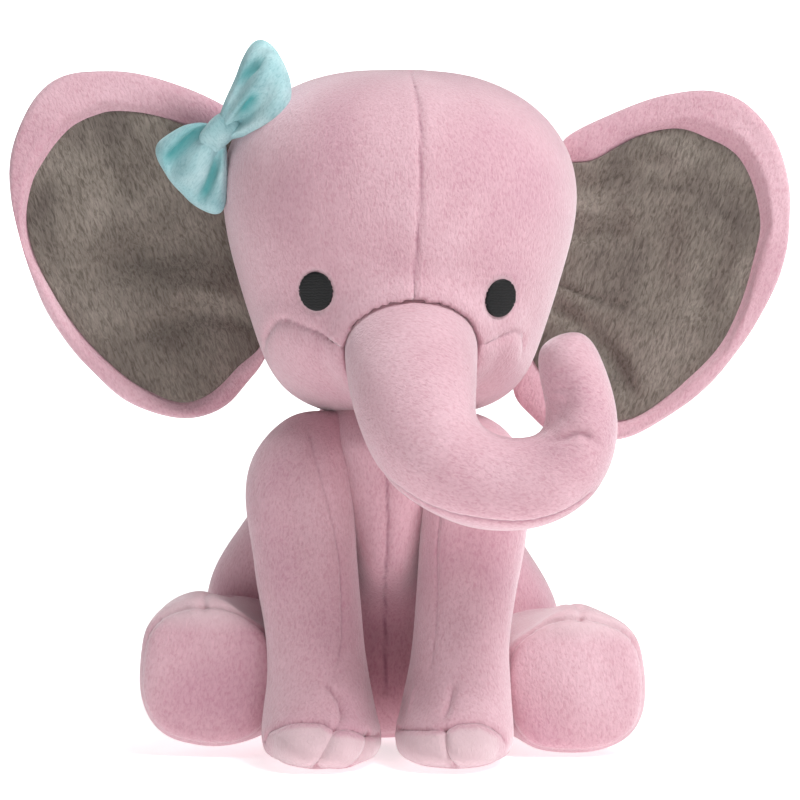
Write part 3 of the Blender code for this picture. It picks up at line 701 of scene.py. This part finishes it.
frontLegSkins, hindLegSkins = {}, {}
for side, flip in flips.items():
    own = frontLegCut[side]
    cut = dict(frontLegCut, seams=own["seams"], lumps=own["lumps"])
    leg = stuffPiece(f"frontLegSkin_{side}",
                     ringsOf(sideRows(cut["rows"], side), cut["segments"], level=-1,
                             power=cut["power"]), cut)
    for toe in own["toes"]:
        addBump(leg, *toe)
    shadeToes(leg, own["band"])
    settle(leg)
    frontLegSkins[side] = leg

    shift, sole = hindLegCut["shift"][side], hindLegCut["sole"]
    across, high = (a * b for a, b in zip(sole["half"], hindLegCut["stretch"][side]))
    x, y, z = sole["at"]
    x, z = bodyMiddle + flip * x + shift[0], z + shift[2]
    ring, arch = [], []
    for j in range(28):
        c, s = squared(math.tau * j / 28, sole["power"])
        ring.append((x + across * c, y, z + high * s))
        if s > 0.3:
            arch.append(ring[-1])
    cut = dict(hindLegCut, lumps=(18, 0.9, 9.0 + flip), bumps=hindLegCut["bumps"][side], seams=[
        {"near": ring, "closed": True, "width": 1.4, "depth": 0.3, "puff": 0.15, "puffWide": 3.2,
         "dark": 0.1, "thread": 0.8},
        {"near": arch, "width": 0.8, "depth": 0.6, "puff": 0.4, "puffWide": 3.0, "pucker": 0.9,
         "dark": hindLegCut["stitch"][side], "thread": 0.45, "fade": 8},
        {"near": [(x, y, z + high), (x, y + 8, z + high + 6), (x - flip * 3, -20, 60),
                  (x - flip * 8, -6, 60)],
         "width": 1.2, "depth": 0.9, "puff": 0.4, "dark": 0.25, "thread": 0.8},
    ])
    rows = sideRows(cut["rows"], side, shift, cut["stretch"][side])
    leg = stuffPiece(f"hindLegSkin_{side}", ringsOf(rows, cut["segments"], ahead=(0, 0, 1),
                                                    power=cut["power"]), cut)
    settle(leg)
    # painted highlight: the top of the foot, which faces the lamps overhead, is painted paler
    points = pointsOf(leg)
    paintedTopLight = np.clip((points[:, 2] - (z + high - 8)) / 7, 0, 1)
    paintedTopLight *= np.clip((-4 - points[:, 1]) / 14, 0, 1)
    mark(leg, "pale", 0.75 * paintedTopLight)
    hindLegSkins[side] = leg

# Ears: outlines as (x, z) on each side, edge first and grey panel second.
earCut = {
    "left": {
        "edge": [(-56, 229), (-64, 234), (-78, 241.5), (-95, 246.8), (-108, 247.8), (-122, 246.4),
                 (-132, 239.2), (-139, 228), (-142.4, 214), (-142, 198), (-136.8, 177),
                 (-126, 151.4), (-110.4, 132.2), (-96, 121.8), (-83, 118.2), (-72, 119),
                 (-62.5, 123.5), (-55.5, 132), (-50, 138.5), (-47, 149), (-50, 167), (-55, 185),
                 (-57, 200), (-57, 215)],
        "panel": [(-58, 224), (-70, 224.5), (-79, 228), (-92, 232.5), (-105, 234), (-117, 231),
                  (-126, 224), (-131.5, 215), (-135.5, 206), (-137.4, 192), (-133.6, 177),
                  (-121, 153.5), (-106, 137), (-93, 128), (-82, 123.5), (-73, 124.8),
                  (-65, 130.5), (-58, 138), (-51.5, 143), (-48.5, 151), (-51, 167), (-56, 185),
                  (-58, 200), (-58, 213)],
        "cup": ((-97, 184), (26, 34), 5.0), "seed": 4.0, "lean": 20,
    },
    "right": {
        "edge": [(58, 219), (64, 224.8), (75, 230.4), (90, 237), (107, 240.4), (122, 238.6),
                 (130.6, 232), (139.4, 219.4), (143, 204), (143.6, 191), (142, 177),
                 (133.2, 156), (122.4, 140.4), (108, 125), (92.4, 115), (82, 110.4), (70, 110.6),
                 (57, 112), (47.5, 120), (41, 128.5), (44, 144), (52, 164), (57, 184), (58, 202)],
        "panel": [(59, 213), (69, 213.5), (77, 218), (87, 224), (101, 227.5), (114, 225),
                  (125, 219), (131, 209), (134, 197.5), (134.4, 189), (132.6, 180.5),
                  (127.6, 163), (119, 145), (105, 130.6), (92, 121), (83, 117), (73, 118),
                  (62, 124), (52, 134), (47, 142), (48, 152), (54, 168), (58, 184), (59, 199)],
        "cup": ((99, 180), (25, 34), 5.0), "seed": 8.0, "lean": -20,
    },
    # the ear is thin at its root, thickens over 26 mm and bows forward further out
    "middle": (98, 182), "thinUpTo": 46, "thickens": 26, "bowFrom": 62, "bow": 6.0, "reach": 78,
    # mix from edge to panel outline, share of the way out from the middle, depth
    "backLayers": [(0, 0.03, 4.0), (0, 0.35, 4.4), (0, 0.7, 4.4), (0, 0.9, 4.0), (0, 0.97, 2.6),
                   (0, 1.0, 0.2), (0, 0.985, -2.8), (0.3, 1.0, -4.4), (0.7, 1.0, -4.4),
                   (1, 1.0, -2.8), (1, 0.97, -0.9), (1, 0.88, 0.4), (1, 0.4, 0.9), (1, 0.03, 0.9)],
    "frontLayers": [(1, 0.03, 0.3), (1, 0.5, 0.2), (1, 0.93, -0.1), (1, 0.99, -1.4),
                    (1, 0.985, -2.9), (1, 0.92, -3.8), (1, 0.75, -3.6), (1, 0.5, -3.0),
                    (1, 0.25, -2.6), (1, 0.03, -2.5)],
    "levels": 1, "finish": 2,
    "filling": {"shrink": 0.4, "most": 1.5, "pressure": 3.0, "root": 82.0},
    "dart": [{"front": [(55, 169), (62, 166.8), (70, 163.6), (86, 158.4)], "width": 0.9,
              "depth": 0.8, "puff": 0.4, "puffWide": 3.5, "dark": 0.55, "fade": 4}],
    # folds through the whole ear: the line as (x, z), then width, depth and faded ends
    "leftFolds": [
        ([(-50, 151), (-66, 157), (-84, 155), (-100, 148)], 4.0, 2.2, 12),
        ([(-52, 172), (-72, 180), (-98, 178), (-118, 168)], 7.0, 2.8, 16),
        ([(-56, 200), (-74, 210), (-92, 206)], 5.0, 1.8, 12),
        ([(-108, 230), (-106, 212), (-98, 196)], 5.0, 1.8, 10),
        ([(-118, 222), (-126, 200), (-124, 176)], 5.0, -1.4, 12),
        ([(-54, 162), (-74, 167), (-90, 165)], 3.0, -1.2, 12),
    ],
    "rightFolds": [
        ([(50, 163), (64, 155), (78, 141), (88, 122)], 3.6, 2.4, 12),
        ([(56, 190), (70, 186), (88, 190)], 3.2, 2.0, 10),
        ([(57, 203), (72, 204), (92, 213), (104, 215)], 4.0, 2.2, 14),
        ([(57, 196), (72, 195), (90, 201)], 2.6, -1.2, 12),
        ([(118, 212), (121, 190), (114, 166), (106, 152)], 6.0, 2.4, 14),
        ([(104, 205), (106, 185), (100, 166)], 6.0, -1.4, 14),
    ],
}


def earLoops(side, layers):
    own = earCut[side]
    middle = Vector((flips[side] * earCut["middle"][0], 0, earCut["middle"][1]))
    (cupX, cupZ), (cupWide, cupHigh), cupDeep = own["cup"]
    fine = []
    for outline in (own["edge"], own["panel"]):
        points = [Vector((x, 0, z)) for x, z in outline]
        smooth = []
        for i in range(len(points)):
            a, b, c, d = (points[(i + k) % len(points)] for k in (-1, 0, 1, 2))
            smooth += [between(a, b, c, d, t) for t in (0.0, 0.5)]
        fine.append(smooth)
    loops = []
    for mix, size, deep in layers:
        loop = []
        for edge, panel in zip(*fine):
            at = middle.lerp(edge.lerp(panel, mix), size)
            out = max(abs(at.x) - earCut["bowFrom"], 0)
            past = max(abs(at.x) - earCut["thinUpTo"], 0)
            thin = 0.4 + 0.6 * min(1.0, past / earCut["thickens"]) ** 0.7
            cup = cupDeep * math.exp(-((at.x - cupX) / cupWide) ** 2
                                     - ((at.z - cupZ) / cupHigh) ** 2)
            ahead = earCut["bow"] * (out / earCut["reach"]) ** 2
            loop.append(Vector((at.x, 1 + deep * thin - ahead + cup, at.z)))
        loops.append(loop)
    return loops


# Folds both faces of the ear the same way, so the lining and the back stay together.
def foldEar(skin, folds):
    points = pointsOf(skin)
    for drawn, width, depth, fade in folds:
        line = curveThrough([(x, 0, z) for x, z in drawn])
        tree = pointTree(line)
        for i, (x, y, z) in enumerate(points):
            _, index, away = tree.find((x, 0, z))
            if away < 3 * width:
                ends = min(1.0, min(index, len(line) - 1 - index) * lineStep / fade)
                points[i, 1] += (depth * ends * ends * (3 - 2 * ends)
                                 * math.exp(-(away / width) ** 2))
    movePoints(skin, points)


earSkins, earPanels = {}, {}
for side in flips:
    cut = dict(earCut, lumps=(20, 0.8, earCut[side]["seed"]), seams=[])
    earSkins[side] = stuffPiece(f"earSkin_{side}", earLoops(side, earCut["backLayers"]), cut)
    earPanels[side] = stuffPiece(f"earPanel_{side}", earLoops(side, earCut["frontLayers"]), cut)
    for skin in (earSkins[side], earPanels[side]):
        foldEar(skin, earCut[side + "Folds"])
sewLines(earPanels["right"], earCut["dart"])

tailCut = {
    "rows": [(-4, 62, 36, 3, 3), (-4, 66, 36, 5.6, 5.6), (-4, 72, 34, 5.8, 5.8),
             (-4, 78, 28, 5.2, 5.2), (-4, 81.5, 20, 4.8, 4.8), (-4, 82, 13, 5.2, 5.2),
             (-4, 81.6, 8, 4.6, 4.6), (-4, 81.4, 5.4, 1.4, 1.4)],
}
tailSkin = loftSkin("tailSkin", ringsOf(tailCut["rows"], 12), 3)
addLumps(tailSkin, 9, 0.3, 2.0)

# Bow: two folded velour loops gathered under a short wrap. Rows give the two long edges as
# (x, z), how far forward the row lies and half its thickness.
bowCut = {
    "upper": {
        "rows": [
            ((-66, 223.5), (-61.5, 219.5), -20, 3.2), ((-64.2, 228.5), (-58.2, 220.6), -22, 4.2),
            ((-60.6, 237.5), (-53, 221.3), -25, 6.2), ((-56.4, 247.6), (-46.3, 221.6), -28, 7.8),
            ((-52.8, 253.8), (-40.3, 226.6), -29, 7.8), ((-49, 255.2), (-38.4, 232.5), -29, 6.2),
            ((-45.2, 253), (-38.1, 238.5), -29, 4), ((-42.2, 249.5), (-38.8, 243), -29, 1.4)],
        "folds": [(0.30, 0.24, (0, 0.6, 1.0, 0.7, 0.25, 0.05, 0, 0), 8.5),
                  (-0.50, 0.18, (0, 0.1, 0.5, 0.9, 1.0, 0.6, 0.2, 0), 4.6)],
        # the dark colour along each crease is painted shade in the fold
        "creases": [
            {"front": [(-58, 226.5), (-55, 230), (-52, 233.5), (-51, 236.5)], "width": 1.8,
             "depth": 1.6, "dark": 0.95, "thread": 2.6, "fade": 4},
            {"front": [(-58.4, 239.4), (-53.6, 242.6), (-50, 245.6), (-47.6, 249)], "width": 1.6,
             "depth": 1.2, "dark": 0.75, "thread": 1.9, "fade": 5},
        ],
    },
    "lower": {
        "rows": [
            ((-66.5, 225.5), (-62.5, 219.5), -19, 3.2), ((-71.5, 227), (-61.6, 215.8), -19, 4.4),
            ((-78, 225), (-61.6, 208), -18, 6.2), ((-84.5, 222), (-61.8, 199), -17, 7.4),
            ((-88.8, 218.5), (-64, 193), -16, 6.8), ((-87.4, 212.2), (-69.5, 193.8), -15.5, 5),
            ((-84, 207), (-75, 197.2), -15, 2.6), ((-81, 203.6), (-77.5, 199.6), -15, 1)],
        "folds": [(-0.46, 0.2, (0, 0.6, 1.0, 1.0, 0.8, 0.3, 0, 0), 5.6),
                  (0.50, 0.17, (0, 0.4, 0.9, 1.0, 0.8, 0.3, 0, 0), 5.0)],
        # the dark colour along each crease is painted shade in the fold
        "creases": [
            {"front": [(-69, 225), (-75, 221), (-80.5, 216), (-85.4, 211.5)], "width": 1.7,
             "depth": 1.4, "dark": 0.85, "thread": 2.2, "fade": 5},
            {"front": [(-65.6, 214.5), (-66.6, 209), (-69, 203), (-72.4, 197.4)], "width": 1.5,
             "depth": 1.4, "dark": 0.85, "thread": 1.8, "fade": 5},
        ],
    },
    "knot": [(-69.4, -20, 217.8, 2, 2), (-69, -20.4, 218.2, 4.4, 3.8), (-67, -21, 220, 5.2, 4.5),
             (-64.4, -21.4, 222.6, 5.1, 4.6), (-61.8, -21.8, 225, 5.2, 4.6),
             (-59.2, -21.8, 227.4, 4.4, 3.9), (-58.6, -21.6, 228, 2, 2)],
    "segments": 40,
}


def bowLoops(piece):
    loops = []
    for index, ((xa, za), (xb, zb), y, thick) in enumerate(piece["rows"]):
        middle = Vector(((xa + xb) / 2, y, (za + zb) / 2))
        across = Vector(((xb - xa) / 2, 0, (zb - za) / 2))
        loop = []
        for j in range(bowCut["segments"]):
            angle = math.tau * j / bowCut["segments"]
            c, s = math.cos(angle), math.sin(angle)
            front = thick * s
            if s > 0:
                for place, width, along, deep in piece["folds"]:
                    front -= deep * along[index] * s * math.exp(-((c - place) / width) ** 2)
            loop.append(middle + across * c + Vector((0, -1, 0)) * front)
        loops.append(loop)
    return loops


bowPieces = {}
for name in ("upper", "lower"):
    piece = loftSkin(f"bowLoop_{name}", bowLoops(bowCut[name]), 3)
    addLumps(piece, 9, 0.5, 1.0 if name == "upper" else 6.0)
    sewLines(piece, bowCut[name]["creases"])
    bowPieces[name] = piece
bowKnot = loftSkin("bowKnotWrap", ringsOf(bowCut["knot"], 16), 3)
addLumps(bowKnot, 5, 0.5, 3.0)
print("bow made")


# Draws the face up to the trunk's root, where the two cloths are sewn edge to edge.
def meetTrunk(skin, other, height, wide):
    tree = treeOf(other)
    points, normals = pointsOf(skin), normalsOf(skin)
    for i, point in enumerate(points):
        near = tree.find_nearest(Vector(point), wide * 3)
        if near[0] is not None and (Vector(point) - near[0]).dot(near[1]) > -0.5:
            points[i] += normals[i] * height * math.exp(-(near[3] / wide) ** 2)
    movePoints(skin, points)


trunkJoin = {"height": 4.2, "wide": 6.5, "threadWide": 0.6, "dark": 0.3}
meetTrunk(headSkin, trunkSkin, trunkJoin["height"], trunkJoin["wide"])
darkenMeeting(trunkSkin, headSkin, trunkJoin["threadWide"], trunkJoin["dark"])
darkenMeeting(headSkin, trunkSkin, trunkJoin["threadWide"], trunkJoin["dark"])

# Eyes: satin stitch sewn through the face, a little proud of it, with thread ends showing
# round the edge.
eyeCut = {
    "left": {"middle": (-29.1, 165.2), "half": (5.9, 6.8), "lean": 10, "seed": 2.0},
    "right": {"middle": (35.7, 162.9), "half": (5.2, 6.8), "lean": -17, "seed": 5.0},
    "rings": [(1.0, -1.5), (1.0, 0.12), (0.965, 0.42), (0.9, 0.55), (0.75, 0.68), (0.55, 0.78),
              (0.3, 0.84), (0.06, 0.86)],
    "edge": 96, "thread": 0.55,
}
headTree = treeOf(headSkin)
eyePieces = {}
for side in flips:
    own = eyeCut[side]
    loops = []
    for size, rise in eyeCut["rings"]:
        loop = []
        for j in range(eyeCut["edge"]):
            angle = math.tau * j / eyeCut["edge"]
            dx, dz = leaned(own["half"][0] * math.cos(angle), own["half"][1] * math.sin(angle),
                            own["lean"])
            teeth = 1 + 0.11 * noise.noise(Vector((dz / eyeCut["thread"], own["seed"],
                                                    math.copysign(3, dx)))) * min(size * size, 1)
            x, z = own["middle"][0] + dx * size * teeth, own["middle"][1] + dz * size
            hit, normal, _, _ = headTree.ray_cast(Vector((x, -200, z)), Vector((0, 1, 0)))
            loop.append(hit + normal * rise)
        loops.append(loop)
    eyePieces[side] = loftSkin(f"stitchedEye_{side}", loops, 0)
    # the pile round the stitching is pressed down and looks paler
    points, normals = pointsOf(headSkin), normalsOf(headSkin)
    front = points[:, 1] < 0
    dx, dz = leaned(points[:, 0] - own["middle"][0], points[:, 2] - own["middle"][1],
                    -own["lean"])
    away = np.hypot(dx / own["half"][0], dz / own["half"][1])
    ring = np.exp(-((away - 1.05) / 0.12) ** 2) * front
    movePoints(headSkin, points - normals * (0.5 * ring)[:, None])
    mark(headSkin, "pale", np.maximum(markOf(headSkin, "pale"), 0.45 * ring))
print("eyes made")

# Care tag: folded satin tape sewn into the seat seam at the back.
tagCut = {"root": (24, 64, 19), "length": 16, "height": 11, "curl": 1.6, "thickness": 0.6}
bm = bmesh.new()
bmesh.ops.create_grid(bm, x_segments=8, y_segments=12, size=0.5)
for vert in bm.verts:
    along, high = vert.co.x + 0.5, vert.co.y
    vert.co = Vector(tagCut["root"]) + Vector((tagCut["curl"] * math.sin(along * 2.2),
                                               tagCut["length"] * along, tagCut["height"] * high))
bmesh.ops.solidify(bm, geom=bm.faces[:], thickness=tagCut["thickness"])
bmesh.ops.recalc_face_normals(bm, faces=bm.faces)
careTag = objectFrom(bm, "careTag")

finishPiece(headSkin, pinkMinky, 4)
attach(headSkin, "head")
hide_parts("head_panel_left", "head_panel_right", "cheek_panel_left",
            "cheek_panel_right", "head_stuffing")
finishPiece(torsoSkin, pinkMinky, -3)
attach(torsoSkin, "torso")
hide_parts("chest_panel_left", "chest_panel_right", "back_panel_left",
            "back_panel_right", "seat_panel", "torso_stuffing", "bean_bag")
finishPiece(trunkSkin, pinkMinky, 75)
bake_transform(trunkSkin)
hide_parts("trunk_front", "trunk_back", "trunk_stuffing")
finishPiece(tailSkin, pinkMinky)
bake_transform(tailSkin)
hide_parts("tail")
for side, flip in flips.items():
    leg = finishPiece(frontLegSkins[side], pinkMinky, 5 * flip)
    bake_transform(leg)
    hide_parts(f"front_leg_outer_{side}", f"front_leg_inner_{side}", f"front_sole_{side}",
                f"front_leg_stuffing_{side}")
    leg = finishPiece(hindLegSkins[side], pinkMinky, 12 * flip)
    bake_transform(leg)
    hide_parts(f"hind_leg_outer_{side}", f"hind_leg_inner_{side}", f"hind_sole_{side}",
                f"hind_leg_stuffing_{side}")
    for piece, material, slotName in ((earSkins[side], pinkMinky, "pink_plush"),
                                      (earPanels[side], greyMinky, "grey_plush")):
        finishPiece(piece, material, earCut[side]["lean"])
        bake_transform(piece)
    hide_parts(f"ear_back_{side}", f"ear_wadding_{side}")
    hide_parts(f"ear_front_{side}")
    eye = finishPiece(eyePieces[side], blackThread)
    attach(eye, "head")
    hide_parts(f"eye_{side}")
for name, piece in bowPieces.items():
    finishPiece(piece, aquaVelour, -42 if name == "upper" else -37)
    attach(piece, "head")
    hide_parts(f"bow_loop_{name}")
finishPiece(bowKnot, aquaVelour, 45)
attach(bowKnot, "head")
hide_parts("bow_knot")
finishPiece(careTag, whiteTape)
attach(careTag, "torso")
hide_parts("care_label")

# Studio: pale floor and backdrop, soft light all round with a key from the upper right.
studio = {
    "distance": 0.95, "elevation": 1.7, "aim": (0.0003, 0.0, 0.126), "lens": 116.6,
    # name, place in metres, size, watts and colour
    "softboxes": [("keySoftbox", (0.85, -0.62, 1.45), 0.6, 23.0, "#FAFFFF"),
                  ("fillSoftbox", (-0.8, -0.35, 1.0), 0.7, 0.7, "#F3F1FF"),
                  ("topSoftbox", (0.3, -0.3, 1.5), 0.9, 6.2, "#FFFFFF")],
    "world": 0.085, "roomGlow": 0.85, "floorGlow": 0.56, "backGlow": 0.9,
}
scene = bpy.context.scene
lens = bpy.data.cameras.new("studioCamera")
lens.lens = studio["lens"]
lens.clip_start, lens.clip_end = 0.05, 20
camera = bpy.data.objects.new("studioCamera", lens)
scene.collection.objects.link(camera)
tilt = math.radians(studio["elevation"])
aim = Vector(studio["aim"])
camera.location = aim + Vector((0, -math.cos(tilt), math.sin(tilt))) * studio["distance"]
camera.rotation_euler = (aim - camera.location).to_track_quat("-Z", "Y").to_euler()
scene.camera = camera


def addSoftbox(name, place, size, power, colour):
    light = bpy.data.lights.new(name, "AREA")
    light.shape = "SQUARE"
    light.size = size
    light.energy = power
    light.color = linearColour(colour)[:3]
    thing = bpy.data.objects.new(name, light)
    thing.location = place
    ahead = Vector((0, 0, 0.12)) - Vector(place)
    thing.rotation_euler = ahead.to_track_quat("-Z", "Y").to_euler()
    scene.collection.objects.link(thing)


for softbox in studio["softboxes"]:
    addSoftbox(*softbox)
# the room looks pale behind the toy from every side, and lights it only a little
world = bpy.data.worlds.new("whiteRoom")
world.use_nodes = True
room = world.node_tree.nodes["Background"]
room.inputs["Color"].default_value = linearColour("#FCF8F9")
rays = addNode(world.node_tree, "ShaderNodeLightPath")
glow = addNode(world.node_tree, "ShaderNodeMix",
               {"data_type": "FLOAT", 2: studio["world"], 3: studio["roomGlow"]},
               {0: rays.outputs["Is Camera Ray"]})
world.node_tree.links.new(glow.outputs[0], room.inputs["Strength"])
scene.world = world


def addStage(name, turn, place, size, glow):
    bm = bmesh.new()
    bmesh.ops.create_grid(bm, x_segments=1, y_segments=1, size=size)
    bmesh.ops.rotate(bm, verts=bm.verts, matrix=Matrix.Rotation(turn, 3, "X"))
    bmesh.ops.translate(bm, verts=bm.verts, vec=place)
    thing = objectFrom(bm, name)
    thing.data.materials.append(startMaterial(name + "Paint", {
        "Base Color": linearColour("#F6F6F6"), "Roughness": 0.8, "Emission Color": (1, 1, 1, 1),
        "Emission Strength": glow})[0])


addStage("paleFloor", 0.0, (0, 0, 0), 3.0, studio["floorGlow"])
addStage("paleBackdrop", math.pi / 2, (0, 2.2, 1.4), 2.0, studio["backGlow"])
